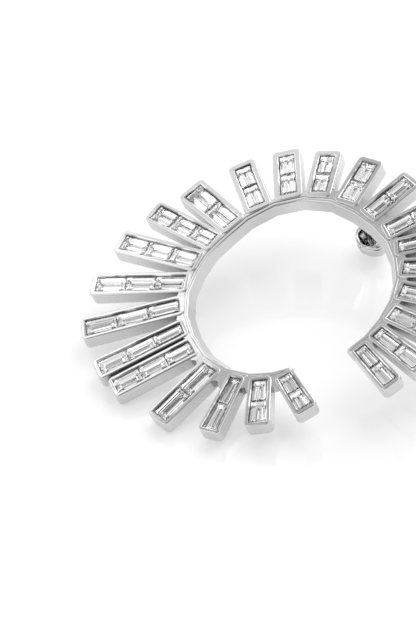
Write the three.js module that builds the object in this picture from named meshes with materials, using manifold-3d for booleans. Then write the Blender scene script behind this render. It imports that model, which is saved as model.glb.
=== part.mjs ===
// A sunburst stud earring, in millimetres, +Z up, lying on a surface as it comes to rest.
// An open C-shaped band carries 23 box bezels that fan outwards, each with a row of step-cut baguettes.
// Band, bezels, solder pad and post are one soldered solid. Each baguette is a solid, and so is the ear nut.
// The earring is laid out with the bezel rims in the plane z = 0, the ring's centre at the origin and the
// post pointing down. The whole is then tilted until two bezel tips and the post's tip touch the surface.
import * as THREE from "three";
import { mergeVertices } from "three/addons/utils/BufferGeometryUtils.js";
import Module from "manifold-3d";

const wasm = await Module();
wasm.setup();

// Bezels, clockwise from one side of the mouth to the other.
// at: where the root stands on the band, degrees from +X; lean: turn of the axis from the radius, degrees
// long: root to tip; tip, root: width at each end; rim: wall beside the stones; stones: how many in the row
// band: the band's inner radius at the seam before this bezel
const BEZELS = [
  { at: 264.5, lean: 30.9, long: 6.5, tip: 2.95, root: 2.5, rim: 0.4, stones: 2, band: 11.3 },
  { at: 252.3, lean: 13.4, long: 6.9, tip: 3.2, root: 2.75, rim: 0.45, stones: 2, band: 11.75 },
  { at: 239.5, lean: 3.8, long: 8.2, tip: 2.9, root: 2.3, rim: 0.4, stones: 2, band: 12.2 },
  { at: 223.1, lean: -0.5, long: 9.5, tip: 3.3, root: 3.3, rim: 0.45, stones: 2, band: 12.5 },
  { at: 205.9, lean: -4.2, long: 11.1, tip: 3.1, root: 3.0, rim: 0.42, stones: 3, band: 12.5 },
  { at: 191.8, lean: 7.8, long: 11.9, tip: 3.2, root: 2.75, rim: 0.42, stones: 3, band: 12.5 },
  { at: 177.4, lean: 6.4, long: 12.8, tip: 3.3, root: 2.95, rim: 0.45, stones: 3, band: 12.65 },
  { at: 163.1, lean: 5.8, long: 12.5, tip: 3.25, root: 2.95, rim: 0.45, stones: 3, band: 12.65 },
  { at: 149.6, lean: 2.1, long: 11.7, tip: 3.35, root: 3.2, rim: 0.5, stones: 3, band: 12.4 },
  { at: 135.5, lean: 4.2, long: 10.6, tip: 3.2, root: 3.1, rim: 0.45, stones: 3, band: 12.3 },
  { at: 121.8, lean: 6.4, long: 9.1, tip: 3.8, root: 3.6, rim: 0.7, stones: 2, band: 12.1 },
  { at: 106.2, lean: 0.2, long: 8.0, tip: 3.45, root: 3.45, rim: 0.75, stones: 2, band: 12.5 },
  { at: 89.8, lean: 1.8, long: 7.5, tip: 3.5, root: 3.5, rim: 0.8, stones: 2, band: 12.85 },
  { at: 74.4, lean: 1.7, long: 6.9, tip: 3.45, root: 3.3, rim: 0.75, stones: 2, band: 12.9 },
  { at: 57.7, lean: 1.2, long: 7.0, tip: 3.4, root: 3.4, rim: 0.65, stones: 2, band: 12.7 },
  { at: 41.8, lean: -5.0, long: 7.4, tip: 3.2, root: 3.2, rim: 0.5, stones: 2, band: 12.2 },
  { at: 25.6, lean: -5.4, long: 7.5, tip: 3.1, root: 3.0, rim: 0.45, stones: 2, band: 12.15 },
  { at: 13.1, lean: -11.0, long: 7.9, tip: 3.05, root: 2.7, rim: 0.45, stones: 2, band: 12.4 },
  { at: -0.4, lean: -11.5, long: 8.2, tip: 3.05, root: 2.8, rim: 0.45, stones: 2, band: 12.55 },
  { at: -13.8, lean: -11.5, long: 8.3, tip: 3.05, root: 2.8, rim: 0.45, stones: 2, band: 12.7 },
  { at: -27.3, lean: -11.0, long: 8.4, tip: 3.05, root: 2.8, rim: 0.45, stones: 2, band: 12.6 },
  { at: -39.8, lean: -10.0, long: 8.4, tip: 2.95, root: 2.6, rim: 0.42, stones: 2, band: 12.45 },
  { at: -52.0, lean: -6.3, long: 7.5, tip: 2.8, root: 2.45, rim: 0.4, stones: 2, band: 12.4 },
];

// Band: a thin strip under the bezel roots whose inner wall leans in towards the back.
const BAND_ENDS = { firstSeam: 270.5, lastSeam: -58.2, lastRadius: 12.2 };
const BAND = { drop: 0.14, deep: 1.4, lip: 0.55, across: 2.2 };
const BAND_EDGE = 0.16; // the bright chamfer along the band's inner edge
const WEB = 0.6; // flat of the band that shows between its inner edge and the bezel roots

const BEZEL_DEEP = 2.2;
const BEZEL_CORNER = 0.35; // radius of a bezel's corners, seen from the front
const RIM_CHAMFER = 0.08;
const BACK_ROUND = 0.5; // radius of a bezel's edge at the back
const CORNER_STEPS = 3;

const POCKET_DEEP = 1.55;
const POCKET_BEVEL = 0.12; // the rim slopes in to the stones over this width and depth
const SEAT_GAP = 0.05; // between a stone and its pocket, and half the gap between two stones

// A baguette's outline steps in by `inset` at the level `z`, from the tip of its pavilion up to its table.
const BAGUETTE = [
  { z: -1.4, inset: 0.66 },
  { z: -1.02, inset: 0.34 },
  { z: -0.52, inset: 0 },
  { z: -0.44, inset: 0 },
  { z: -0.26, inset: 0.2 },
  { z: -0.14, inset: 0.44 },
];

// Post: soldered to a round pad on the back, with a friction groove near its tip.
const POST = { at: 56.5, radius: 14.1, thick: 0.9, tipZ: -11, sides: 16 };
const TIP = { flat: 0.5, shoulder: 0.85, rise: 0.15, round: 0.45 }; // the first two are shares of the radius
const GROOVE = { z: -9.3, deep: 0.08, flat: 0.4, wide: 0.8 };
const PAD = { wide: 2.4, high: 0.3, sunk: 0.25, edge: 0.1 };

// Ear nut: one strip of sheet, flat where the post goes through and rolled into a scroll at each end.
const NUT = { plateZ: -8, sheet: 0.28, long: 5, wide: 3.6, hole: 1, turn: -53, sides: 32 };
const SCROLL = { out: 1.4, first: 1.1, last: 0.52, turns: 1.3, steps: 24 };

// At rest it stands on these two bezels' tips, counted from 0, and on the post's tip.
const RESTING_BEZELS = [3, 4];
const RESTING_REACH = 3; // the touching point lies within this of the tip's middle
const RESTING_PASSES = 5; // of finding the lowest point of each tip, then levelling on all three

const FACING = -9.5; // degrees that it is turned on its surface, so that its front view looks along +Y

const WELD = 1e-4; // points nearer than this are one

const deg = THREE.MathUtils.degToRad;

/** A closed solid through rings of points, all with as many points, the first and last filled in. */
function loft(rings) {
  const around = rings[0].length;
  const positions = rings.flat().flatMap((p) => [p.x, p.y, p.z]);
  const faces = [];
  for (let ring = 0; ring < rings.length - 1; ring++) {
    for (let i = 0; i < around; i++) {
      const a = ring * around + i;
      const b = ring * around + ((i + 1) % around);
      faces.push(a, b, b + around, a, b + around, a + around);
    }
  }
  const top = (rings.length - 1) * around;
  for (let i = 1; i < around - 1; i++) {
    faces.push(0, i + 1, i, top, top + i, top + i + 1);
  }
  const geometry = new THREE.BufferGeometry();
  geometry.setAttribute("position", new THREE.Float32BufferAttribute(positions, 3));
  geometry.setIndex(faces);
  return geometry;
}

/** The geometry as a manifold solid. */
function solid(geometry) {
  const bare = geometry.clone();
  bare.deleteAttribute("normal");
  bare.deleteAttribute("uv");
  const merged = mergeVertices(bare, WELD);
  const mesh = new wasm.Mesh({
    numProp: 3,
    vertProperties: new Float32Array(merged.attributes.position.array),
    triVerts: new Uint32Array(merged.index.array),
  });
  return new wasm.Manifold(mesh);
}

/** The manifold solid as a geometry. */
function geometryOf(body) {
  const mesh = body.getMesh();
  const geometry = new THREE.BufferGeometry();
  geometry.setAttribute("position", new THREE.BufferAttribute(new Float32Array(mesh.vertProperties), 3));
  geometry.setIndex(new THREE.BufferAttribute(new Uint32Array(mesh.triVerts), 1));
  return geometry.toNonIndexed();
}

/** The point at an angle on a circle about the origin. */
function polar(radius, degrees) {
  return new THREE.Vector2(radius * Math.cos(deg(degrees)), radius * Math.sin(deg(degrees)));
}

/** The seams of the band, one before each bezel and one after the last, as an angle and an inner radius. */
function bandSeams() {
  const seams = BEZELS.map((bezel, i) => ({
    angle: i === 0 ? BAND_ENDS.firstSeam : (BEZELS[i - 1].at + bezel.at) / 2,
    radius: bezel.band,
  }));
  return [...seams, { angle: BAND_ENDS.lastSeam, radius: BAND_ENDS.lastRadius }];
}

/** The band: its section is repeated at each seam, so that one flat facet lies behind each bezel. */
function bandGeometry(seams) {
  const rings = seams.map(({ angle, radius }) => {
    const section = [
      [radius - BAND.lip, -BAND.deep],
      [radius + BAND.across, -BAND.deep],
      [radius + BAND.across, -BAND.drop],
      [radius + BAND_EDGE, -BAND.drop],
      [radius, -BAND.drop - BAND_EDGE],
    ];
    return section.map(([r, z]) => {
      const point = polar(r, angle);
      return new THREE.Vector3(point.x, point.y, z);
    });
  });
  return loft(rings);
}

/** Turns a bezel's own plan (x along its axis from the root, y across it) into the earring's frame. */
function placeOnBand(bezel, seams, index) {
  const facet = (seams[index].radius + seams[index + 1].radius) / 2;
  const bow = Math.cos(deg((seams[index].angle - seams[index + 1].angle) / 2));
  const root = polar(facet * bow + WEB, bezel.at);
  const turn = deg(bezel.at + bezel.lean);
  return new THREE.Matrix4().makeRotationZ(turn).setPosition(root.x, root.y, 0);
}

/** A bezel's tapered plan between two places on its axis, `side` off its edges and pulled in by `inset`. */
function plan({ bezel, from, to, side }, inset, corner = 0) {
  const halfAt = (x) => THREE.MathUtils.lerp(bezel.root, bezel.tip, x / bezel.long) / 2 - side - inset;
  const corners = [
    { x: from + inset + corner, across: -1, start: 180 },
    { x: to - inset - corner, across: -1, start: 270 },
    { x: to - inset - corner, across: 1, start: 0 },
    { x: from + inset + corner, across: 1, start: 90 },
  ];
  return corners.flatMap(({ x, across, start }) => {
    const centre = new THREE.Vector2(x, across * (halfAt(x) - corner));
    const steps = corner > 0 ? CORNER_STEPS : 0;
    return Array.from({ length: steps + 1 }, (_, i) => {
      return polar(corner, start + (90 * i) / CORNER_STEPS).add(centre);
    });
  });
}

/** The same plan at several levels, lofted into a solid. */
function stack(area, levels) {
  return loft(
    levels.map(({ z, inset, corner }) => {
      return plan(area, inset, corner).map((p) => new THREE.Vector3(p.x, p.y, z));
    }),
  );
}

/** The outside of a bezel, rounded at the back and chamfered along its rim. */
function bezelGeometry(bezel) {
  const back = Array.from({ length: CORNER_STEPS + 1 }, (_, i) => {
    const swing = deg(90 - (90 * i) / CORNER_STEPS);
    const rise = BACK_ROUND * (1 - Math.sin(swing));
    return { z: rise - BEZEL_DEEP, inset: BACK_ROUND * (1 - Math.cos(swing)) };
  });
  const levels = [...back, { z: -RIM_CHAMFER, inset: 0 }, { z: 0, inset: RIM_CHAMFER }];
  const rounded = levels.map(({ z, inset }) => ({ z, inset, corner: BEZEL_CORNER }));
  return stack({ bezel, from: 0, to: bezel.long, side: 0 }, rounded);
}

/** The pocket that is cut into a bezel for its row of stones. */
function pocketGeometry(bezel) {
  const { rim, long } = bezel;
  return stack({ bezel, from: rim, to: long - rim, side: rim }, [
    { z: -POCKET_DEEP, inset: 0 },
    { z: -POCKET_BEVEL, inset: 0 },
    { z: POCKET_BEVEL, inset: -2 * POCKET_BEVEL },
  ]);
}

/** One step-cut baguette of a bezel's row, counted from the root. */
function baguetteGeometry(bezel, number) {
  const length = (bezel.long - 2 * bezel.rim) / bezel.stones;
  const from = bezel.rim + number * length + SEAT_GAP;
  const area = { bezel, from, to: from + length - 2 * SEAT_GAP, side: bezel.rim + SEAT_GAP };
  return stack(area, BAGUETTE);
}

/** The post with its solder pad, turned about its own axis. */
function postGeometry() {
  const half = POST.thick / 2;
  const padZ = -BEZEL_DEEP - PAD.high;
  const solderZ = -BEZEL_DEEP + PAD.sunk;
  const profile = [
    [0, POST.tipZ],
    [half * TIP.flat, POST.tipZ],
    [half * TIP.shoulder, POST.tipZ + TIP.rise],
    [half, POST.tipZ + TIP.round],
    [half, GROOVE.z - GROOVE.wide / 2],
    [half - GROOVE.deep, GROOVE.z - GROOVE.flat / 2],
    [half - GROOVE.deep, GROOVE.z + GROOVE.flat / 2],
    [half, GROOVE.z + GROOVE.wide / 2],
    [half, padZ],
    [PAD.wide / 2 - PAD.edge, padZ],
    [PAD.wide / 2, padZ + PAD.edge],
    [PAD.wide / 2, solderZ],
    [0, solderZ],
  ].map(([r, z]) => new THREE.Vector2(r, z));
  return new THREE.LatheGeometry(profile, POST.sides).rotateX(Math.PI / 2);
}

/** Band, bezels, pad and post soldered together, with the pockets cut. */
function frameGeometry(seams) {
  const places = BEZELS.map((bezel, i) => placeOnBand(bezel, seams, i));
  const post = polar(POST.radius, POST.at);
  const soldered = [
    bandGeometry(seams),
    ...BEZELS.map((bezel, i) => bezelGeometry(bezel).applyMatrix4(places[i])),
    postGeometry().translate(post.x, post.y, 0),
  ];
  const pockets = BEZELS.map((bezel, i) => pocketGeometry(bezel).applyMatrix4(places[i]));
  const whole = soldered.map(solid).reduce((all, next) => all.add(next));
  return geometryOf(pockets.map(solid).reduce((all, next) => all.subtract(next), whole));
}

/** The middle of the nut's sheet, a flat plate between two scrolls: x along it and y away from the ear. */
function nutLine() {
  const scroll = Array.from({ length: SCROLL.steps + 1 }, (_, i) => {
    const done = i / SCROLL.steps;
    const radius = THREE.MathUtils.lerp(SCROLL.first, SCROLL.last, done);
    const point = polar(radius, -90 + 360 * SCROLL.turns * done);
    return point.add(new THREE.Vector2(SCROLL.out, SCROLL.first));
  });
  const mirrored = scroll.map((p) => new THREE.Vector2(-p.x, p.y)).reverse();
  return [...mirrored, ...scroll];
}

/** The ear nut, its plate's front face at y = 0 and the hole for the post along Y. */
function nutGeometry() {
  const line = nutLine();
  const side = (sign) => {
    return line.map((p, i) => {
      const next = line[Math.min(i + 1, line.length - 1)];
      const along = next.clone().sub(line[Math.max(i - 1, 0)]).normalize();
      const outward = new THREE.Vector2(along.y, -along.x).multiplyScalar((sign * NUT.sheet) / 2);
      return outward.add(p).add(new THREE.Vector2(0, NUT.sheet / 2));
    });
  };
  const section = new THREE.Shape([...side(1), ...side(-1).reverse()]);
  const strip = new THREE.ExtrudeGeometry(section, { depth: NUT.wide, bevelEnabled: false });
  strip.translate(0, 0, -NUT.wide / 2);
  const oval = new THREE.CylinderGeometry(0.5, 0.5, 4 * SCROLL.first, NUT.sides);
  oval.scale(NUT.long, 1, NUT.wide).translate(0, SCROLL.first, 0);
  const hole = new THREE.CylinderGeometry(NUT.hole / 2, NUT.hole / 2, 4 * NUT.sheet, POST.sides);
  return geometryOf(solid(strip).intersect(solid(oval)).subtract(solid(hole)));
}

/** Which way is up, in the earring's own frame, when it rests on the post's tip and two bezel tips. */
function restingUp(geometry, seams) {
  const position = geometry.getAttribute("position");
  const points = Array.from({ length: position.count }, (_, i) => {
    return new THREE.Vector3().fromBufferAttribute(position, i);
  });
  const tips = RESTING_BEZELS.map((index) => {
    const bezel = BEZELS[index];
    return new THREE.Vector3(bezel.long, 0, -BEZEL_DEEP).applyMatrix4(placeOnBand(bezel, seams, index));
  });
  const post = polar(POST.radius, POST.at);
  const places = [...tips, new THREE.Vector3(post.x, post.y, POST.tipZ)];
  const groups = places.map((place) => points.filter((point) => point.distanceTo(place) < RESTING_REACH));
  const up = new THREE.Vector3(0, 0, 1);
  for (let pass = 0; pass < RESTING_PASSES; pass++) {
    const lower = (a, b) => (b.dot(up) < a.dot(up) ? b : a);
    const lowest = groups.map((group) => group.reduce(lower));
    up.copy(new THREE.Plane().setFromCoplanarPoints(...lowest).normal);
    up.multiplyScalar(Math.sign(up.z));
  }
  return up;
}

const METAL = new THREE.MeshStandardMaterial({ color: "#dcdde0", metalness: 1, roughness: 0.12 });
const STONE = new THREE.MeshStandardMaterial({ color: "#f3f6f9", metalness: 0, roughness: 0.02 });

function namedMesh(name, geometry, material) {
  const mesh = new THREE.Mesh(geometry, material);
  mesh.name = name;
  return mesh;
}

/** The earring in its own frame, with a node for the frame, for the nut and for each stone. */
function buildEarring() {
  const seams = bandSeams();
  const frame = namedMesh("frame", frameGeometry(seams), METAL);
  const stones = BEZELS.flatMap((bezel, index) => {
    return Array.from({ length: bezel.stones }, (_, number) => {
      const name = `baguette_${String(index + 1).padStart(2, "0")}_${number + 1}`;
      const stone = namedMesh(name, baguetteGeometry(bezel, number), STONE);
      stone.applyMatrix4(placeOnBand(bezel, seams, index));
      return stone;
    });
  });
  const nut = namedMesh("ear_nut", nutGeometry(), METAL);
  const post = polar(POST.radius, POST.at);
  nut.position.set(post.x, post.y, NUT.plateZ);
  nut.rotation.set(-Math.PI / 2, 0, deg(NUT.turn), "ZXY");

  const earring = new THREE.Group().add(frame, nut, ...stones);
  const vertical = new THREE.Vector3(0, 0, 1);
  const level = new THREE.Quaternion().setFromUnitVectors(restingUp(frame.geometry, seams), vertical);
  const facing = new THREE.Quaternion().setFromAxisAngle(vertical, deg(FACING));
  earring.quaternion.copy(facing.multiply(level));
  return earring;
}

/** Stands a group on z = 0, its box's middle over the origin. */
function standAtOrigin(group) {
  group.updateMatrixWorld(true);
  const box = new THREE.Box3().setFromObject(group, true);
  const middle = box.getCenter(new THREE.Vector3());
  group.position.set(-middle.x, -middle.y, -box.min.z);
  return group;
}

export default standAtOrigin(buildEarring());
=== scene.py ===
"""Finished metal and stones of a sunburst stud earring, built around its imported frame."""
import math
from collections import namedtuple

import bmesh
import bpy
from bpy.props import FloatProperty, FloatVectorProperty, PointerProperty
from mathutils import Matrix, Quaternion, Vector, noise
from mathutils.bvhtree import BVHTree


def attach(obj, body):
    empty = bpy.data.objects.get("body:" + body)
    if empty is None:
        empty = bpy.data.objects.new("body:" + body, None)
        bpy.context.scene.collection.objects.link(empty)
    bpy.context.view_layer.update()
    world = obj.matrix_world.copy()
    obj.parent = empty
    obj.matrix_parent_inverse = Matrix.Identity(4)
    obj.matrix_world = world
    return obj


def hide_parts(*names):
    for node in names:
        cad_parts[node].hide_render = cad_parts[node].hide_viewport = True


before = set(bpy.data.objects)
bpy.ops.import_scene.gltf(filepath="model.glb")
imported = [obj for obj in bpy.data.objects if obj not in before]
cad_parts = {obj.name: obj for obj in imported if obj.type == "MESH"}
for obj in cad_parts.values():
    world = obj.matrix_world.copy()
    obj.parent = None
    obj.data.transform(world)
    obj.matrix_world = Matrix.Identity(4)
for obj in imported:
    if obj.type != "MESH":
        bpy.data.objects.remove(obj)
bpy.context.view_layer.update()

bl_info = {
    "name": "Sunburst stud earring",
    "version": (1, 0, 0),
    "blender": (4, 5, 0),
    "location": "3D View > Sidebar > Earring",
    "description": "Builds the polished setting, the ear nut and the baguettes of a sunburst stud earring",
    "category": "Add Mesh",
}

MM = 0.001

# The earring is laid out in millimetres with its rims at z = 0 and the post pointing down, then tilted to rest.
REST_TURN = Quaternion((0.98928764, 0.08249144, -0.08802108, -0.08220346))
REST_PLACE = Vector((2.1321054, -1.3379170, 7.3946662))
LAID_TO_REST = Matrix.Scale(MM, 4) @ Matrix.Translation(REST_PLACE) @ REST_TURN.to_matrix().to_4x4()

# Bezels, clockwise from one side of the mouth to the other, in degrees and millimetres.
# at: where the root stands on the band; lean: turn of the axis from the radius; long: root to tip
# tip, root: width at each end; rim: wall beside the stones
# band: inner radius at the seam before it; web: how far the band reaches out at that seam
Bezel = namedtuple("Bezel", "at lean long tip root rim stones band web")
BEZELS = [
    Bezel(264.5, 30.9, 6.5, 2.95, 2.5, 0.49, 2, 11.3, 2.2),
    Bezel(252.3, 13.4, 6.9, 3.2, 2.75, 0.54, 2, 11.75, 2.2),
    Bezel(239.5, 3.8, 8.2, 2.9, 2.3, 0.49, 2, 12.2, 2.1),
    Bezel(223.1, -0.5, 9.5, 3.3, 3.3, 0.54, 2, 12.5, 2.1),
    Bezel(205.9, -4.2, 11.1, 3.1, 3.0, 0.51, 3, 12.5, 1.6),
    Bezel(191.8, 7.8, 11.9, 3.2, 2.75, 0.51, 3, 12.5, 1.2),
    Bezel(177.4, 6.4, 12.8, 3.3, 2.95, 0.54, 3, 12.65, 1.3),
    Bezel(163.1, 5.8, 12.5, 3.25, 2.95, 0.54, 3, 12.65, 1.3),
    Bezel(149.6, 2.1, 11.7, 3.35, 3.2, 0.59, 3, 12.4, 1.4),
    Bezel(135.5, 4.2, 10.6, 3.2, 3.1, 0.54, 3, 12.3, 1.5),
    Bezel(121.8, 6.4, 9.1, 3.8, 3.6, 0.7, 2, 12.1, 2.0),
    Bezel(106.2, 0.2, 8.0, 3.45, 3.45, 0.75, 2, 12.5, 1.1),
    Bezel(89.8, 1.8, 7.5, 3.5, 3.5, 0.8, 2, 12.85, 1.1),
    Bezel(74.4, 1.7, 6.9, 3.45, 3.3, 0.75, 2, 12.9, 1.2),
    Bezel(57.7, 1.2, 7.0, 3.4, 3.4, 0.65, 2, 12.7, 1.7),
    Bezel(41.8, -5.0, 7.4, 3.2, 3.2, 0.59, 2, 12.2, 2.0),
    Bezel(25.6, -5.4, 7.5, 3.1, 3.0, 0.54, 2, 12.15, 2.0),
    Bezel(13.1, -11.0, 7.9, 3.05, 2.7, 0.54, 2, 12.4, 1.5),
    Bezel(-0.4, -11.5, 8.2, 3.05, 2.8, 0.54, 2, 12.55, 1.5),
    Bezel(-13.8, -11.5, 8.3, 3.05, 2.8, 0.54, 2, 12.7, 1.5),
    Bezel(-27.3, -11.0, 8.4, 3.05, 2.8, 0.54, 2, 12.6, 1.5),
    Bezel(-39.8, -10.0, 8.4, 2.95, 2.6, 0.51, 2, 12.45, 1.5),
    Bezel(-52.0, -6.3, 7.5, 2.8, 2.45, 0.49, 2, 12.4, 1.6),
]
# The band's ends beside the mouth: the angle of the first, and the angle, inner radius and web of the last
FIRST_SEAM = 270.5
LAST_SEAM, LAST_RADIUS, LAST_WEB = -58.2, 12.2, 1.6
WEB = 0.6  # from the band's inner edge to the bezels' roots
BEZEL_DEEP, POCKET_DEEP = 2.17, 1.55
# A pocket's lip is rounded over in three steps, each so far out and so far up.
LIP = ((0.035, 0.04), (0.045, 0.03), (0.055, 0.012))
LIP_DROP = sum(rise for out, rise in LIP)
# By hand its sides waver so far, so often a millimetre; the last number sets each row's wavering apart.
LIP_WAVE, LIP_WAVES, LIP_ROW = 0.14, 1.1, 7.7
LIP_CUTS = 9
# Stones: their gap to the walls, half the gap between two, and the girdle's height and level
SEAT_GAP, JOINT_GAP = 0.05, 0.015
GIRDLE, GIRDLE_Z = 0.08, -0.33
# Steps of a stone, as (in, up), drawn for one of this half width: up to its table, and down to its keel
CROWN = [(0.08, 0.09), (0.1, 0.07), (0.1, 0.035)]
PAVILION = [(0.12, 0.2), (0.16, 0.24), (0.2, 0.24), (0.2, 0.2), (0.16, 0.1)]
DRAWN_HALF = 0.95
# Stones lean about their row and across it by hand: axis, seed, and the most in degrees
STONE_LEANS = (("X", 5.1, 6.0), ("Y", 3.3, 2.5))
STONE_PLACES = 2.3  # how much the lean changes from one stone to the next
POST_RADIUS, POST_AT = 14.1, 56.5
# Small beads of solder on the web: centre and radius; they settle a little flat
BEAD_SHAPE = (1, 1, 0.7)
BEADS = [((-5.47, -11.57, -0.17), 0.2), ((5.48, 13.64, -0.17), 0.22)]
# Ear nut: an oval bowl with two scrolls of sheet in it. It is drawn in to points at its two ends.
NUT_LONG, NUT_WIDE, NUT_HOLE, NUT_TURN, NUT_POINT = 5.0, 3.6, 1.0, -53, 0.4
# The bowl's wall and rolled rim, as (share of the half width, height)
BOWL = [
    (0, -10.48), (0.4, -10.48), (0.46, -10.45), (0.82, -9.95), (0.86, -9.9), (0.97, -9.5), (1.0, -9.1),
    (0.98, -8.75), (0.95, -8.55), (0.9, -8.49), (0.9, -8.43), (0.93, -8.37), (0.92, -8.22), (0.88, -8.1),
    (0.8, -8.05), (0.72, -8.1), (0.69, -8.2), (0.74, -8.5), (0.86, -9.0), (0.86, -9.3), (0.8, -9.62),
    (0.7, -9.88), (0.4, -10.24), (0, -10.24),
]
SCROLL_OUT, SCROLL_FIRST, SCROLL_LAST, SCROLL_TURNS = 1.25, 0.95, 0.3, 1.6
SCROLL_FOOT, SCROLL_SHEET, SCROLL_WIDE = -10.2, 0.2, 1.2
SCROLL_FLAT = 0.16  # share of the strip that stays flat between the scrolls
# How finely the round pieces are divided
CORNER_STEPS, RIM_STEPS = 6, 4
POST_SIDES, NUT_SIDES, HOLE_SIDES, CROTCH_SIDES, SCROLL_STEPS = 40, 56, 32, 24, 150

NEAR = 0.01  # closer than this is the same place
MERGE = 1e-4  # points of a turned piece that meet on its axis
SLIVER = 0.001  # edges shorter than this are closed up after a cut
WALL_SLOPE = 0.35  # faces steeper than this are walls
POCKET_SLACK = 0.1  # how far a pocket's floor may be off before its cut counts as missing
SHARP = 40  # degrees; flatter edges are shaded soft
SMALLEST_CROTCH = 0.04
CROTCH_ROUNDS = 12  # each brings the round end nearer to the bezels on both sides
CUTTER, DRILL = 4, 30  # height of the tools that cut the crotches and the nut's hole

# The wheel leaves waves this deep on the rims, the walls and the crotches.
POLISHED_WAVE, SATIN_WAVE, CROTCH_WAVE = 0.011 * MM, 0.007 * MM, 0.01 * MM
INSIDE_ROUGHNESS, CROTCH_ROUGHNESS = 0.33, 0.35
# Painted shade in narrow gaps: how near the other wall is, and how bright the plate still is there
SHADE_REACH, GAP_SHADE = 2.5 * MM, 0.35
# The round ends of the gaps between the bezels are painted dark grey: painted shade where the gap closes in.
CROTCH_SHADE_COLOUR = "#959595"
SKIN_DARK, SKIN_BRIGHT = "#959595", "#F9F9F9"
BRIGHT_CUT, ACRYLIC, WHITE = "#EDEDED", "#C8C8C8", "#FFFFFF"
SURFACE_GLOW = 0.44
LOOK_AT = Vector((-7.837, 5.258, 0))

# Softboxes, in millimetres: where each stands, where it points, its width and height, and its radiance
Softbox = namedtuple("Softbox", "name at aim width height radiance")
SOFTBOXES = [
    Softbox("key", (300, 260, 420), (0, 0, 0), 450, 450, 1.4),
    Softbox("left_card", (-81.0, 81.6, 105.9), (-41.1, 3.5, -15.8), 50, 64, 0.95),
    Softbox("top_card", (-19.8, 115.7, 104.2), (20.1, 37.6, -17.5), 90, 60, 0.45),
]
# Brightness of the white surround at the surface and above this height of its dome
HORIZON, OVERHEAD, DOME = 1.03, 1.2, 0.7
SURFACE_HALF = 1.5
LIGHT_TURNS = 18
# Parts of the studio that are darker or brighter than the rest: direction, full inside, gone outside, factor
Patch = namedtuple("Patch", "towards full gone factor")
PATCHES = [
    Patch((-0.266, 0.521, 0.811), 20, 36, 0.52),
    Patch((0, -0.73, 0.68), 28, 44, 0.09),
    Patch((0.35, 0.75, 0.57), 15, 45, 1.35),
    Patch((0.67, 0.73, 0.12), 14, 28, 0.4),
]


# ---------------------------------------------------------------- sizes and colours


def linear(hex_colour):
    """An sRGB hex colour as linear RGBA."""
    channels = [int(hex_colour[i:i + 2], 16) / 255 for i in (1, 3, 5)]
    return [c / 12.92 if c <= 0.04045 else ((c + 0.055) / 1.055) ** 2.4 for c in channels] + [1.0]


class MetalSettings(bpy.types.PropertyGroup):
    """Rhodium plate, cast and hand polished."""

    colour: FloatVectorProperty(
        name="Plate colour", description="Reflected colour of the plate", subtype="COLOR",
        size=3, min=0, max=1, default=linear("#D0D0D0")[:3])
    # The walls take a lighter copy of the plate colour: painted light.
    wall_lit_colour: FloatVectorProperty(
        name="Wall colour", description="Reflected colour of the satin walls", subtype="COLOR",
        size=3, min=0, max=1, default=linear("#D6D6D6")[:3])
    # The band's inner wall takes a still lighter copy of the plate colour: painted light that lifts its shaded
    # reflections.
    inside_lit_colour: FloatVectorProperty(
        name="Inside colour", description="Reflected colour of the band's inner wall", subtype="COLOR",
        size=3, min=0, max=1, default=linear("#D8D8D8")[:3])
    roughness: FloatProperty(
        name="Polish", description="Mean roughness of the polish", min=0, max=1, default=0.09)
    wall_roughness: FloatProperty(
        name="Wall polish", description="Mean roughness between the bezels, where the wheel does not reach",
        min=0, max=1, default=0.25)
    corner: FloatProperty(
        name="Corner radius", description="Rounding of a bezel's upright corners",
        subtype="DISTANCE", unit="LENGTH", default=0.65 * MM)
    back_edge: FloatProperty(
        name="Back edge", description="Rounding of a bezel's back edges",
        subtype="DISTANCE", unit="LENGTH", default=0.5 * MM)
    rim_edge: FloatProperty(
        name="Rim edge", description="Rounding of a rim's outer edge",
        subtype="DISTANCE", unit="LENGTH", default=0.14 * MM)


class StoneSettings(bpy.types.PropertyGroup):
    """Clear cubic zirconia, step cut."""

    colour: FloatVectorProperty(
        name="Stone colour", description="Body colour of the stones", subtype="COLOR",
        size=3, min=0, max=1, default=linear("#F3F3F3")[:3])
    ior: FloatProperty(name="Refraction", description="Index of refraction", min=1, max=3, default=2.16)


class StageSettings(bpy.types.PropertyGroup):
    """Pale glossy surface, soft light and the camera."""

    elevation: FloatProperty(
        name="Elevation", description="Angle of the camera above the surface",
        subtype="ANGLE", unit="ROTATION", default=math.radians(42.338))
    roll: FloatProperty(
        name="Roll", description="Turn of the camera about its own axis",
        subtype="ANGLE", unit="ROTATION", default=math.radians(-10.838))
    distance: FloatProperty(
        name="Distance", description="From the camera to the surface along its axis",
        subtype="DISTANCE", unit="LENGTH", default=426.523 * MM)
    lens: FloatProperty(name="Lens", description="Focal length in millimetres", min=1, max=500, default=307.659)


# ---------------------------------------------------------------- small helpers


def add_node(tree, kind, settings=None, links=None):
    """Adds a node with its settings, and links the named inputs to other nodes' outputs."""
    node = tree.nodes.new(kind)
    for name, value in (settings or {}).items():
        if name in node.inputs:
            node.inputs[name].default_value = value
        else:
            setattr(node, name, value)
    for name, source in (links or {}).items():
        tree.links.new(source, node.inputs[name])
    return node


def polar(radius, degrees):
    """The point at an angle on a circle about the ring's centre."""
    angle = math.radians(degrees)
    return Vector((radius * math.cos(angle), radius * math.sin(angle), 0))


Seam = namedtuple("Seam", "angle radius web")


def seams():
    """The band's seams, one before each bezel and one after the last."""
    between = [(a.at + b.at) / 2 for a, b in zip(BEZELS, BEZELS[1:])]
    found = [Seam(angle, b.band, b.web) for angle, b in zip([FIRST_SEAM, *between], BEZELS)]
    return [*found, Seam(LAST_SEAM, LAST_RADIUS, LAST_WEB)]


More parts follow.
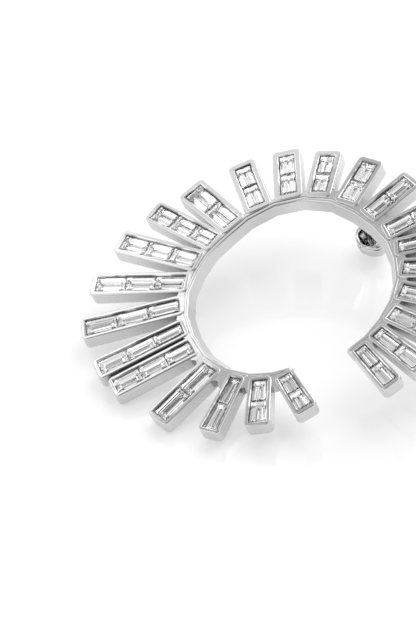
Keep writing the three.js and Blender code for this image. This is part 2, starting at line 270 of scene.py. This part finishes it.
def bezel_place(index):
    """Turns a bezel's own plan, x along its axis from the root, into the earring's layout."""
    before, after = seams()[index:index + 2]
    bow = math.cos(math.radians((before.angle - after.angle) / 2))
    bezel = BEZELS[index]
    root = polar((before.radius + after.radius) / 2 * bow + WEB, bezel.at)
    return Matrix.Translation(root) @ Matrix.Rotation(math.radians(bezel.at + bezel.lean), 4, "Z")


def crotch(index):
    """The round end of the gap before a bezel: its centre and radius, touching the bezels on both sides."""
    seam = seams()[index]
    radius = 0.0
    for _ in range(CROTCH_ROUNDS):
        centre = polar(seam.radius + seam.web + radius, seam.angle)
        gaps = []
        for side, number in ((-1, index - 1), (1, index)):
            bezel = BEZELS[number]
            local = bezel_place(number).inverted() @ centre
            half = (bezel.root + (bezel.tip - bezel.root) * local.x / bezel.long) / 2
            gaps.append(side * local.y - half)
        radius = max(0.0, min(gaps))
    return centre, radius


def new_object(name, bm, *materials):
    """A bmesh as an object, in the layout's millimetres."""
    mesh = bpy.data.meshes.new(name)
    bm.to_mesh(mesh)
    bm.free()
    obj = bpy.data.objects.new(name, mesh)
    bpy.context.scene.collection.objects.link(obj)
    for material in materials:
        mesh.materials.append(material)
    return obj


def mark_walls(bm):
    """Gives the upright faces the second material, which the wheel does not reach."""
    bm.normal_update()
    for face in bm.faces:
        if abs(face.normal.z) < WALL_SLOPE:
            face.material_index = 1


def combine(base, others, operation):
    """Joins the other objects to the base, or cuts them out of it, and removes them."""
    group = bpy.data.collections.new("operands")
    for other in others:
        group.objects.link(other)
    modifier = base.modifiers.new("combine", "BOOLEAN")
    modifier.operation = operation
    modifier.operand_type = "COLLECTION"
    modifier.collection = group
    modifier.solver = "EXACT"
    modifier.material_mode = "TRANSFER"
    finished = bpy.data.meshes.new_from_object(base.evaluated_get(bpy.context.evaluated_depsgraph_get()))
    base.modifiers.clear()
    base.data = finished
    for other in others:
        bpy.data.objects.remove(other)
    bpy.data.collections.remove(group)
    return base


def check_pockets(setting):
    """Looks straight down into every bezel: a cut that left no pocket is an error."""
    bm = bmesh.new()
    bm.from_mesh(setting.data)
    surface = BVHTree.FromBMesh(bm)
    bm.free()
    for index, bezel in enumerate(BEZELS):
        above = bezel_place(index) @ Vector((bezel.long / 2, 0, 1))
        point = surface.ray_cast(above, Vector((0, 0, -1)))[0]
        if point is None or abs(point.z + POCKET_DEEP) > POCKET_SLACK:
            raise RuntimeError(f"bezel {index + 1} has no pocket")


def finish_piece(obj, body, nodes):
    """Shades a piece softly between its sharp edges, lays it at rest, and ties it to the frame."""
    mesh = obj.data
    mesh.transform(LAID_TO_REST)
    mesh.shade_smooth()
    bm = bmesh.new()
    bm.from_mesh(mesh)
    bmesh.ops.dissolve_degenerate(bm, dist=SLIVER * MM, edges=list(bm.edges))
    for edge in bm.edges:
        if not edge.is_manifold or edge.calc_face_angle() > math.radians(SHARP):
            edge.smooth = False
    bm.to_mesh(mesh)
    bm.free()
    weighted = obj.modifiers.new("even_shading", "WEIGHTED_NORMAL")
    weighted.keep_sharp = True
    weighted.weight = 100
    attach(obj, body)
    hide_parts(*nodes)
    return obj


# ---------------------------------------------------------------- materials


def rhodium(name, colour, roughness, wave, gap_shade=1.0):
    """Rhodium plate over cast brass: bright, with clouded polish and faint waves left by the buffing wheel.

    The last argument is how bright the plate still is deep in the narrow gaps: painted shade that darkens the
    plate where other walls stand close.
    """
    material = bpy.data.materials.new(name)
    material.use_nodes = True
    tree = material.node_tree
    shader = tree.nodes["Principled BSDF"]
    shader.inputs["Metallic"].default_value = 1.0
    shader.inputs["Base Color"].default_value = (*colour, 1)
    place = add_node(tree, "ShaderNodeTexCoord")
    clouds, ripples = 0.7 * MM, 1.6 * MM
    unshaded_share = 0.75  # a wall that sees this share of its surroundings is not darkened by the painted shade
    # Painted shade: where the ambient occlusion finds other walls close by, the colour is darkened, as shade
    # falls in narrow gaps.
    if gap_shade < 1:
        reach = add_node(tree, "ShaderNodeAmbientOcclusion",
                         {"Distance": SHADE_REACH, "samples": 8, "only_local": True})
        gap_shading = add_node(tree, "ShaderNodeMapRange", {"From Max": unshaded_share, "To Min": gap_shade},
                         {"Value": reach.outputs["AO"]})
        shaded_tint = add_node(tree, "ShaderNodeVectorMath", {"operation": "SCALE"},
                        {"Scale": gap_shading.outputs["Result"]})
        shaded_tint.inputs[0].default_value = colour
        tree.links.new(shaded_tint.outputs["Vector"], shader.inputs["Base Color"])
    haze = add_node(tree, "ShaderNodeTexNoise", {"Scale": 1 / clouds, "Detail": 3.0},
                    {"Vector": place.outputs["Object"]})
    polish = add_node(tree, "ShaderNodeMapRange", {"To Min": roughness * 0.6, "To Max": roughness * 1.4},
                      {"Value": haze.outputs["Fac"]})
    tree.links.new(polish.outputs["Result"], shader.inputs["Roughness"])
    waves = add_node(tree, "ShaderNodeTexNoise", {"Scale": 1 / ripples, "Detail": 1.0},
                     {"Vector": place.outputs["Object"]})
    bump = add_node(tree, "ShaderNodeBump", {"Strength": 1.0, "Distance": wave},
                    {"Height": waves.outputs["Fac"]})
    tree.links.new(bump.outputs["Normal"], shader.inputs["Normal"])
    return material


def cast_skin():
    """The pocket walls beside the stones: skin from the casting, dark in patches where no graver cleaned it."""
    material = bpy.data.materials.new("rhodium_cast_skin")
    material.use_nodes = True
    tree = material.node_tree
    shader = tree.nodes["Principled BSDF"]
    shader.inputs["Metallic"].default_value = 1.0
    place = add_node(tree, "ShaderNodeTexCoord")
    patch = 3.5 * MM
    dark_below, bright_above = 0.43, 0.54
    patches = add_node(tree, "ShaderNodeTexNoise", {"Scale": 1 / patch, "Detail": 5.0, "Roughness": 0.6},
                       {"Vector": place.outputs["Object"]})
    colour = add_node(tree, "ShaderNodeMapRange",
                      {"From Min": dark_below, "From Max": bright_above,
                       "To Min": linear(SKIN_DARK)[0], "To Max": linear(SKIN_BRIGHT)[0]},
                      {"Value": patches.outputs["Fac"]})
    tree.links.new(colour.outputs["Result"], shader.inputs["Base Color"])
    polish = add_node(tree, "ShaderNodeMapRange", {"To Min": 0.45, "To Max": 0.2},
                      {"Value": patches.outputs["Fac"]})
    tree.links.new(polish.outputs["Result"], shader.inputs["Roughness"])
    return material


def bright_cut():
    """The same plate inside the pockets, cut with a polished graver: it sends the light back up the stones."""
    material = bpy.data.materials.new("rhodium_bright_cut")
    material.use_nodes = True
    tree = material.node_tree
    shader = tree.nodes["Principled BSDF"]
    shader.inputs["Metallic"].default_value = 1.0
    shader.inputs["Base Color"].default_value = linear(BRIGHT_CUT)
    place = add_node(tree, "ShaderNodeTexCoord")
    stroke = 0.25 * MM
    strokes = add_node(tree, "ShaderNodeTexNoise", {"Scale": 1 / stroke, "Detail": 2.0},
                       {"Vector": place.outputs["Object"]})
    polish = add_node(tree, "ShaderNodeMapRange", {"To Min": 0.08, "To Max": 0.22},
                      {"Value": strokes.outputs["Fac"]})
    tree.links.new(polish.outputs["Result"], shader.inputs["Roughness"])
    return material


def zirconia():
    """Clear cubic zirconia, cut in steps with flat polished facets."""
    settings = bpy.context.scene.earring_stones
    material = bpy.data.materials.new("zirconia_step_cut")
    material.use_nodes = True
    tree = material.node_tree
    shader = tree.nodes["Principled BSDF"]
    shader.inputs["Base Color"].default_value = (*settings.colour, 1)
    shader.inputs["Transmission Weight"].default_value = 1.0
    shader.inputs["IOR"].default_value = settings.ior
    place = add_node(tree, "ShaderNodeTexCoord")
    smear = 0.4 * MM
    haze = add_node(tree, "ShaderNodeTexNoise", {"Scale": 1 / smear, "Detail": 2.0},
                    {"Vector": place.outputs["Object"]})
    polish = add_node(tree, "ShaderNodeMapRange", {"To Min": 0.0, "To Max": 0.012},
                      {"Value": haze.outputs["Fac"]})
    tree.links.new(polish.outputs["Result"], shader.inputs["Roughness"])
    return material


def acrylic():
    """White glossy acrylic sheet, lit a little from within, with a faint orange peel."""
    material = bpy.data.materials.new("acrylic_white")
    material.use_nodes = True
    tree = material.node_tree
    shader = tree.nodes["Principled BSDF"]
    shader.inputs["Base Color"].default_value = linear(ACRYLIC)
    shader.inputs["Roughness"].default_value = 0.02
    place = add_node(tree, "ShaderNodeTexCoord")
    dimple, dimple_deep = 6 * MM, 0.01 * MM
    peel = add_node(tree, "ShaderNodeTexNoise", {"Scale": 1 / dimple, "Detail": 1.0},
                    {"Vector": place.outputs["Object"]})
    bump = add_node(tree, "ShaderNodeBump", {"Strength": 1.0, "Distance": dimple_deep},
                    {"Height": peel.outputs["Fac"]})
    tree.links.new(bump.outputs["Normal"], shader.inputs["Normal"])
    shader.inputs["Emission Color"].default_value = linear(WHITE)
    shader.inputs["Emission Strength"].default_value = SURFACE_GLOW
    shader.inputs["IOR"].default_value = 1.49
    return material


# ---------------------------------------------------------------- pieces


def bezel_solid(bezel, corner, back_edge, rim_edge):
    """A bezel before its pocket is cut: a tapered bar, rounded at its corners and back, with a soft rim."""
    bm = bmesh.new()
    bmesh.ops.create_cube(bm, size=1.0)
    for vert in bm.verts:
        x = (vert.co.x + 0.5) * bezel.long
        width = bezel.root + (bezel.tip - bezel.root) * x / bezel.long
        vert.co = (x, vert.co.y * width, (vert.co.z - 0.5) * BEZEL_DEEP)
    upright = [e for e in bm.edges if abs((e.verts[0].co - e.verts[1].co).z) > NEAR]
    bmesh.ops.bevel(bm, geom=upright, offset=corner, segments=CORNER_STEPS, profile=0.5, affect="EDGES",
                    material=-1)
    back = min(bm.faces, key=lambda f: f.calc_center_median().z)
    bmesh.ops.bevel(bm, geom=list(back.edges), offset=back_edge, segments=CORNER_STEPS, profile=0.5,
                    affect="EDGES", material=-1)
    top = max(bm.faces, key=lambda f: f.calc_center_median().z)
    mark_walls(bm)
    bmesh.ops.bevel(bm, geom=list(top.edges), offset=rim_edge, segments=RIM_STEPS, profile=0.5, affect="EDGES",
                    material=0)
    return bm


def pocket_solid(bezel, number):
    """The space that is cut into a bezel for its stones. Its lip is rounded over, a little uneven by hand."""
    bm = bmesh.new()
    bmesh.ops.create_cube(bm, size=1.0)
    for vert in bm.verts:
        x = bezel.rim + (vert.co.x + 0.5) * (bezel.long - 2 * bezel.rim)
        width = bezel.root + (bezel.tip - bezel.root) * x / bezel.long - 2 * bezel.rim
        vert.co = (x, vert.co.y * width, (vert.co.z - 0.5) * (POCKET_DEEP - LIP_DROP) - LIP_DROP)
    top = max(bm.faces, key=lambda f: f.calc_center_median().z)
    long_edges = [e for e in top.edges if abs((e.verts[0].co - e.verts[1].co).x) > NEAR]
    bmesh.ops.bisect_edges(bm, edges=long_edges, cuts=LIP_CUTS)
    top = max(bm.faces, key=lambda f: f.calc_center_median().z)
    low_x, high_x = min(v.co.x for v in top.verts), max(v.co.x for v in top.verts)
    for vert in top.verts:
        wave = noise.noise(Vector((vert.co.x * LIP_WAVES, vert.co.y, number * LIP_ROW))) * LIP_WAVE
        vert.co.y += math.copysign(wave, vert.co.y)
    for out, rise in (*LIP, (0, LIP_DROP)):
        top = bmesh.ops.extrude_discrete_faces(bm, faces=[top])["faces"][0]
        for vert in top.verts:
            vert.co.z += rise
            vert.co.y += math.copysign(out, vert.co.y)
            if vert.co.x < low_x + NEAR:
                vert.co.x -= out
            elif vert.co.x > high_x - NEAR:
                vert.co.x += out
        low_x, high_x = low_x - out, high_x + out
    bmesh.ops.recalc_face_normals(bm, faces=list(bm.faces))
    mark_walls(bm)
    for face in bm.faces:
        if all(v.co.z > -LIP_DROP - NEAR for v in face.verts):
            face.material_index = 1
    return bm


def band_solid():
    """The band: its section is drawn on from seam to seam, so that a flat facet lies behind each bezel."""
    # How far its back and its web lie below the rims, how far the inner wall leans in towards the back,
    # the radius of its upper edge, and the depth of the fine groove between that edge and the bezels
    deep, drop, lip, edge, groove = 1.4, 0.14, 0.55, 0.2, 0.1
    soft = [(edge - edge * math.cos(math.radians(a)), -drop - edge + edge * math.sin(math.radians(a)))
            for a in (0, 22.5, 45, 67.5, 90)]
    inner = [(WEB, -drop), (WEB - 0.02, -drop - groove), (WEB - 0.08, -drop - groove),
             (WEB - 0.12, -drop - 0.03), (WEB - 0.17, -drop), *reversed(soft)]

    def at_seam(index, back=0.0, inset=0.0):
        seam = seams()[index]
        across = seam.web
        if 0 < index < len(BEZELS):
            across += crotch(index)[1]
        section = [(-lip, -deep), (across, -deep), (across, -drop), *inner]
        low, high = -deep + inset, -drop - inset
        points = []
        for out, z in section:
            least = inset - lip * (z < -edge - drop)
            point = polar(seam.radius + min(max(out, least), across - inset), seam.angle + back)
            point.z = min(max(z, low), high)
            points.append(point)
        return points

    # Each end of the band is filed round, in steps of (degrees back from the end, how much smaller).
    rounded = [(2.4, 0.0), (1.6, 0.03), (1.0, 0.09), (0.55, 0.18), (0.2, 0.3), (0.0, 0.45)]
    first = [at_seam(0, -back, inset) for back, inset in reversed(rounded)]
    last = [at_seam(len(BEZELS), back, inset) for back, inset in rounded]
    sections = [*first, *(at_seam(index) for index in range(1, len(BEZELS))), *last]
    bm = bmesh.new()
    end = bm.faces.new([bm.verts.new(p) for p in sections[0]])
    for section in sections[1:]:
        end = bmesh.ops.extrude_discrete_faces(bm, faces=[end])["faces"][0]
        for vert, point in zip(end.verts, section):
            vert.co = point
    bmesh.ops.holes_fill(bm, edges=[e for e in bm.edges if e.is_boundary])
    bmesh.ops.recalc_face_normals(bm, faces=list(bm.faces))
    for face in bm.faces:
        if all(v.co.z < -drop - edge + NEAR for v in face.verts) and face.normal.z > 0.1:
            face.material_index = 2
    return bm


def bead_solid(centre, radius):
    """A small bead of solder that stands on the web."""
    bm = bmesh.new()
    bmesh.ops.create_icosphere(bm, subdivisions=3, radius=radius)
    bmesh.ops.scale(bm, verts=list(bm.verts), vec=BEAD_SHAPE)
    bmesh.ops.translate(bm, verts=list(bm.verts), vec=centre)
    return bm


def post_solid():
    """The post on its round solder pad, spun about its own axis, with a friction groove near the tip."""
    half, pad, tip = 0.45, 1.2, -11.0
    profile = [
        (0, tip), (0.22, tip), (0.34, tip + 0.06), (0.42, tip + 0.2), (half, tip + 0.45),
        (half, -9.7), (0.37, -9.5), (0.37, -9.1), (half, -8.9),
        (half, -2.56), (0.49, -2.51), (0.55, -2.5), (pad - 0.1, -2.5), (pad - 0.03, -2.47), (pad, -2.4),
        (pad, -1.95), (0, -1.95),
    ]
    bm = bmesh.new()
    verts = [bm.verts.new((r, 0, z)) for r, z in profile]
    edges = [bm.edges.new(pair) for pair in zip(verts, verts[1:])]
    bmesh.ops.spin(bm, geom=[*verts, *edges], axis=(0, 0, 1), cent=(0, 0, 0), angle=math.tau, steps=POST_SIDES,
                   use_merge=True)
    bmesh.ops.remove_doubles(bm, verts=list(bm.verts), dist=MERGE)
    bmesh.ops.recalc_face_normals(bm, faces=list(bm.faces))
    bmesh.ops.translate(bm, verts=list(bm.verts), vec=polar(POST_RADIUS, POST_AT))
    return bm


def baguette_solid(bezel, number):
    """One step-cut baguette of a row, counted from the root, with steps from its girdle to table and keel."""
    length = (bezel.long - 2 * bezel.rim) / bezel.stones
    start = bezel.rim + number * length + JOINT_GAP
    bm = bmesh.new()
    bmesh.ops.create_cube(bm, size=1.0)
    widths = []
    for vert in bm.verts:
        x = start + (vert.co.x + 0.5) * (length - 2 * JOINT_GAP)
        width = bezel.root + (bezel.tip - bezel.root) * x / bezel.long - 2 * (bezel.rim + SEAT_GAP)
        widths.append(width)
        vert.co = (x, vert.co.y * width, vert.co.z * GIRDLE + GIRDLE_Z)
    share = min(widths) / 2 / DRAWN_HALF
    for steps, side in ((CROWN, 1), (PAVILION, -1)):
        face = max(bm.faces, key=lambda f: side * f.calc_center_median().z)
        for inset, rise in steps:
            bmesh.ops.inset_region(bm, faces=[face], thickness=inset * share, depth=rise,
                                   use_even_offset=True)
    bmesh.ops.recalc_face_normals(bm, faces=list(bm.faces))
    middle = Vector((start + length / 2, 0, GIRDLE_Z))
    for axis, seed, most in STONE_LEANS:
        turn = noise.noise(Vector((middle.x * STONE_PLACES, bezel.at, number * seed))) * math.radians(most)
        bmesh.ops.rotate(bm, verts=list(bm.verts), cent=middle, matrix=Matrix.Rotation(turn, 3, axis))
    return bm


def scroll_line(t):
    """The middle of the scrolls' sheet, t from 0 to 1 through one scroll, the flat and the other scroll."""
    half_flat = SCROLL_FLAT / 2
    if abs(t - 0.5) < half_flat:
        return (t - 0.5) / half_flat * SCROLL_OUT, 0.0
    side = 1 if t > 0.5 else -1
    done = (abs(t - 0.5) - half_flat) / (0.5 - half_flat)
    radius = SCROLL_FIRST + (SCROLL_LAST - SCROLL_FIRST) * done
    point = polar(radius, -90 + 360 * SCROLL_TURNS * done)
    return side * (SCROLL_OUT + point.x), SCROLL_FIRST + point.y


def scrolls_solid():
    """The strip inside the ear nut's bowl, rolled over itself into a scroll at each end."""
    bm = bmesh.new()
    bmesh.ops.create_grid(bm, x_segments=SCROLL_STEPS, y_segments=2, size=0.5)
    for vert in bm.verts:
        x, up = scroll_line(vert.co.x + 0.5)
        vert.co = (x, vert.co.y * SCROLL_WIDE, SCROLL_FOOT + up)
    bmesh.ops.recalc_face_normals(bm, faces=list(bm.faces))
    bmesh.ops.solidify(bm, geom=list(bm.faces), thickness=SCROLL_SHEET)
    bmesh.ops.recalc_face_normals(bm, faces=list(bm.faces))
    return bm


def bowl_solid():
    """The ear nut's bowl: its wall and rolled rim spun round, then drawn out to an oval."""
    bm = bmesh.new()
    verts = [bm.verts.new((reach / 2, 0, z)) for reach, z in BOWL]
    edges = [bm.edges.new(pair) for pair in zip(verts, verts[1:])]
    bmesh.ops.spin(bm, geom=[*verts, *edges], axis=(0, 0, 1), cent=(0, 0, 0), angle=math.tau, steps=NUT_SIDES,
                   use_merge=True)
    bmesh.ops.remove_doubles(bm, verts=list(bm.verts), dist=MERGE)
    bmesh.ops.scale(bm, verts=list(bm.verts), vec=(NUT_LONG, NUT_WIDE, 1))
    for vert in bm.verts:
        vert.co.y *= 1 - NUT_POINT * (2 * vert.co.x / NUT_LONG) ** 2
    bmesh.ops.recalc_face_normals(bm, faces=list(bm.faces))
    return bm


class EARRING_OT_setting(bpy.types.Operator):
    """Builds the band, the bezels and the post as one soldered piece"""

    bl_idname = "earring.setting"
    bl_label = "Setting"

    def execute(self, context):
        settings = context.scene.earring_metal
        corner, back_edge, rim_edge = settings.corner / MM, settings.back_edge / MM, settings.rim_edge / MM
        polished = rhodium("rhodium_polished", settings.colour, settings.roughness, POLISHED_WAVE)
        # The walls get painted shade in the narrow gaps between the bezels.
        satin = rhodium("rhodium_satin", settings.wall_lit_colour, settings.wall_roughness, SATIN_WAVE, GAP_SHADE)
        # The band's inner wall is brightened with a lighter copy of the plate: painted light.
        inside = rhodium("rhodium_satin_inside", settings.inside_lit_colour, INSIDE_ROUGHNESS, SATIN_WAVE)
        cast = cast_skin()
        # The crotches are rougher, and their colour is darkened as painted shade.
        unpolished_shaded = rhodium("rhodium_unpolished_painted_shade", linear(CROTCH_SHADE_COLOUR)[:3], CROTCH_ROUGHNESS, CROTCH_WAVE)
        base = new_object("setting", band_solid(), polished, satin, inside)
        soldered = [new_object("post_part", post_solid(), polished)]
        for centre, radius in BEADS:
            soldered.append(new_object("bead_part", bead_solid(Vector(centre), radius), polished))
        pockets = []
        seat = bright_cut()
        for index, bezel in enumerate(BEZELS):
            bar = bezel_solid(bezel, corner, back_edge, rim_edge)
            bar.transform(bezel_place(index))
            soldered.append(new_object(f"bezel_part_{index}", bar, polished, satin))
            pocket = pocket_solid(bezel, index)
            pocket.transform(bezel_place(index))
            pockets.append(new_object(f"pocket_part_{index}", pocket, seat, cast))
        ends = []
        for index in range(1, len(BEZELS)):
            centre, radius = crotch(index)
            if radius > SMALLEST_CROTCH:
                cutter = bmesh.new()
                bmesh.ops.create_cone(cutter, cap_ends=True, segments=CROTCH_SIDES, radius1=radius,
                                      radius2=radius, depth=CUTTER)
                bmesh.ops.translate(cutter, verts=list(cutter.verts), vec=centre)
                ends.append(new_object(f"crotch_part_{index}", cutter, unpolished_shaded))
        combine(base, ends, "DIFFERENCE")
        combine(base, soldered, "UNION")
        for pocket in pockets:
            combine(base, [pocket], "DIFFERENCE")
        check_pockets(base)
        finish_piece(base, "earring", ["frame"])
        return {"FINISHED"}


class EARRING_OT_nut(bpy.types.Operator):
    """Builds the ear nut on the post"""

    bl_idname = "earring.nut"
    bl_label = "Ear nut"

    def execute(self, context):
        polished = bpy.data.materials["rhodium_polished"]
        nut = new_object("nut", bowl_solid(), polished)
        combine(nut, [new_object("scrolls_part", scrolls_solid(), polished)], "UNION")
        drill = bmesh.new()
        bmesh.ops.create_cone(drill, cap_ends=True, segments=HOLE_SIDES, radius1=NUT_HOLE / 2,
                              radius2=NUT_HOLE / 2, depth=DRILL)
        combine(nut, [new_object("drill_part", drill, polished)], "DIFFERENCE")
        turn = Matrix.Rotation(math.radians(NUT_TURN), 4, "Z")
        nut.data.transform(Matrix.Translation(polar(POST_RADIUS, POST_AT)) @ turn)
        finish_piece(nut, "nut", ["ear_nut"])
        return {"FINISHED"}


class EARRING_OT_stones(bpy.types.Operator):
    """Builds the rows of baguettes"""

    bl_idname = "earring.stones"
    bl_label = "Stones"

    def execute(self, context):
        material = zirconia()
        for index, bezel in enumerate(BEZELS):
            for number in range(bezel.stones):
                stone = baguette_solid(bezel, number)
                stone.transform(bezel_place(index))
                row = f"{index + 1:02d}_{number + 1}"
                piece = new_object(f"stone_{row}", stone, material)
                piece.data.transform(LAID_TO_REST)
                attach(piece, "earring")
                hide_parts(f"baguette_{row}")
        return {"FINISHED"}


class EARRING_OT_stage(bpy.types.Operator):
    """Lays the surface and sets the lights and the camera"""

    bl_idname = "earring.stage"
    bl_label = "Stage"

    def execute(self, context):
        scene = context.scene
        settings = scene.earring_stage
        scene.view_settings.view_transform = "Standard"
        # Light turns back many times inside a step cut before it leaves.
        scene.cycles.max_bounces = LIGHT_TURNS
        scene.cycles.glossy_bounces = LIGHT_TURNS
        scene.cycles.transmission_bounces = LIGHT_TURNS
        surface = bmesh.new()
        bmesh.ops.create_grid(surface, x_segments=1, y_segments=1, size=SURFACE_HALF)
        floor = new_object("surface", surface, acrylic())

        world = bpy.data.worlds.new("studio")
        scene.world = world
        world.use_nodes = True
        tree = world.node_tree
        direction = add_node(tree, "ShaderNodeTexCoord")
        height = add_node(tree, "ShaderNodeSeparateXYZ", links={"Vector": direction.outputs["Generated"]})
        sky = add_node(tree, "ShaderNodeMapRange", {"From Max": DOME, "To Min": HORIZON, "To Max": OVERHEAD},
                       {"Value": height.outputs["Z"]})
        strength = sky.outputs["Result"]
        for patch in PATCHES:
            near = add_node(tree, "ShaderNodeVectorMath", {"operation": "DOT_PRODUCT"},
                            {"Vector": direction.outputs["Generated"]})
            near.inputs[1].default_value = patch.towards
            gone, full = math.cos(math.radians(patch.gone)), math.cos(math.radians(patch.full))
            fade = add_node(tree, "ShaderNodeMapRange",
                            {"interpolation_type": "SMOOTHSTEP", "From Min": gone, "From Max": full,
                             "To Min": 1.0, "To Max": patch.factor},
                            {"Value": near.outputs["Value"]})
            both = add_node(tree, "ShaderNodeMath", {"operation": "MULTIPLY"})
            tree.links.new(strength, both.inputs[0])
            tree.links.new(fade.outputs["Result"], both.inputs[1])
            strength = both.outputs["Value"]
        tree.links.new(strength, tree.nodes["Background"].inputs["Strength"])
        tree.nodes["Background"].inputs["Color"].default_value = linear(WHITE)

        for box in SOFTBOXES:
            light = bpy.data.lights.new(box.name, "AREA")
            light.shape = "RECTANGLE"
            light.size, light.size_y = box.width * MM, box.height * MM
            light.energy = box.radiance * math.pi * light.size * light.size_y
            lamp = bpy.data.objects.new(box.name, light)
            lamp.visible_camera = False
            scene.collection.objects.link(lamp)
            lamp.location = Vector(box.at) * MM
            lamp.rotation_euler = (Vector(box.at) - Vector(box.aim)).to_track_quat("Z", "Y").to_euler()

        camera = bpy.data.objects.new("camera", bpy.data.cameras.new("camera"))
        scene.collection.objects.link(camera)
        camera.data.sensor_fit = "HORIZONTAL"
        camera.data.sensor_width = 36
        camera.data.lens = settings.lens
        camera.data.clip_start = 0.01
        camera.data.clip_end = 20
        turn = Matrix.Rotation(math.radians(90) - settings.elevation, 4, "X")
        roll = Matrix.Rotation(settings.roll, 4, "Z")
        back = Matrix.Translation((0, 0, settings.distance))
        camera.matrix_world = Matrix.Translation(LOOK_AT * MM) @ turn @ roll @ back
        scene.camera = camera
        return {"FINISHED"}


class EARRING_PT_panel(bpy.types.Panel):
    """Lists what the earring is made of"""

    bl_idname = "EARRING_PT_panel"
    bl_label = "Sunburst stud earring"
    bl_space_type = "VIEW_3D"
    bl_region_type = "UI"
    bl_category = "Earring"

    def draw(self, context):
        for operator in OPERATORS:
            self.layout.operator(operator.bl_idname)


OPERATORS = (EARRING_OT_stage, EARRING_OT_setting, EARRING_OT_nut, EARRING_OT_stones)
CLASSES = (MetalSettings, StoneSettings, StageSettings, *OPERATORS, EARRING_PT_panel)
SETTINGS = {"earring_metal": MetalSettings, "earring_stones": StoneSettings, "earring_stage": StageSettings}


def register():
    for cls in CLASSES:
        bpy.utils.register_class(cls)
    for name, group in SETTINGS.items():
        setattr(bpy.types.Scene, name, PointerProperty(type=group))


def unregister():
    for name in SETTINGS:
        delattr(bpy.types.Scene, name)
    for cls in reversed(CLASSES):
        bpy.utils.unregister_class(cls)


def main():
    register()
    bpy.ops.earring.stage()
    bpy.ops.earring.setting()
    bpy.ops.earring.nut()
    bpy.ops.earring.stones()


if __name__ == "__main__":
    main()
